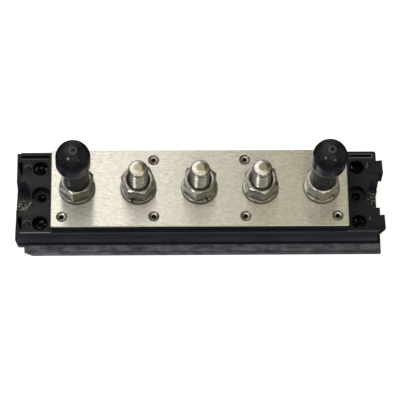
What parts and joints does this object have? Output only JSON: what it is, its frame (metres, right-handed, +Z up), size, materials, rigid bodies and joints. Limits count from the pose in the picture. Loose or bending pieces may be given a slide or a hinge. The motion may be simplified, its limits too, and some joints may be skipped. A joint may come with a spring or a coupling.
{
  "type": "bus bar",
  "caption": "Power bus bar: a flat metal conductor with a row of threaded studs, nuts and lock washers on a black moulded insulating base, with soft caps over the outer studs.",
  "frame": {"origin": "middle of the underside of the base", "axes": "+X along the row of studs, to the right as seen from the front; -Y is the front; +Z up along the studs"},
  "size_m": [0.1746, 0.047, 0.0678],
  "materials": {
    "base_plastic": "satin moulded black",
    "plate_metal": "fine lengthwise brushing",
    "fastener_steel": "bright",
    "cap_vinyl": "satin soft black"
  },
  "bodies": {
    "block": {"base": "base_plastic", "bus_plate": "plate_metal", "stud_1": "fastener_steel", "stud_2": "fastener_steel", "stud_3": "fastener_steel", "stud_4": "fastener_steel", "stud_5": "fastener_steel", "lock_washer_1": "fastener_steel", "lock_washer_2": "fastener_steel", "lock_washer_3": "fastener_steel", "lock_washer_4": "fastener_steel", "lock_washer_5": "fastener_steel", "plate_screws": "fastener_steel"},
    "nut_1": {"nut_1": "fastener_steel"},
    "nut_2": {"nut_2": "fastener_steel"},
    "nut_3": {"nut_3": "fastener_steel"},
    "nut_4": {"nut_4": "fastener_steel"},
    "nut_5": {"nut_5": "fastener_steel"},
    "cap_left": {"cap_left": "cap_vinyl"},
    "cap_right": {"cap_right": "cap_vinyl"}
  },
  "joints": [
    {"name": "nut_1_turn", "type": "hinge", "parent": "block", "child": "nut_1", "pos_m": [-0.05715, 0, 0.032], "axis": [0, 0, 1], "continuous": true},
    {"name": "nut_2_turn", "type": "hinge", "parent": "block", "child": "nut_2", "pos_m": [-0.02857, 0, 0.032], "axis": [0, 0, 1], "continuous": true},
    {"name": "nut_3_turn", "type": "hinge", "parent": "block", "child": "nut_3", "pos_m": [0, 0, 0.032], "axis": [0, 0, 1], "continuous": true},
    {"name": "nut_4_turn", "type": "hinge", "parent": "block", "child": "nut_4", "pos_m": [0.02857, 0, 0.032], "axis": [0, 0, 1], "continuous": true},
    {"name": "nut_5_turn", "type": "hinge", "parent": "block", "child": "nut_5", "pos_m": [0.05715, 0, 0.032], "axis": [0, 0, 1], "continuous": true},
    {"name": "cap_left_lift", "type": "slide", "parent": "block", "child": "cap_left", "axis": [0, 0, 1], "range_m": [0, 0.02]},
    {"name": "cap_right_lift", "type": "slide", "parent": "block", "child": "cap_right", "axis": [0, 0, 1], "range_m": [0, 0.02]}
  ]
}
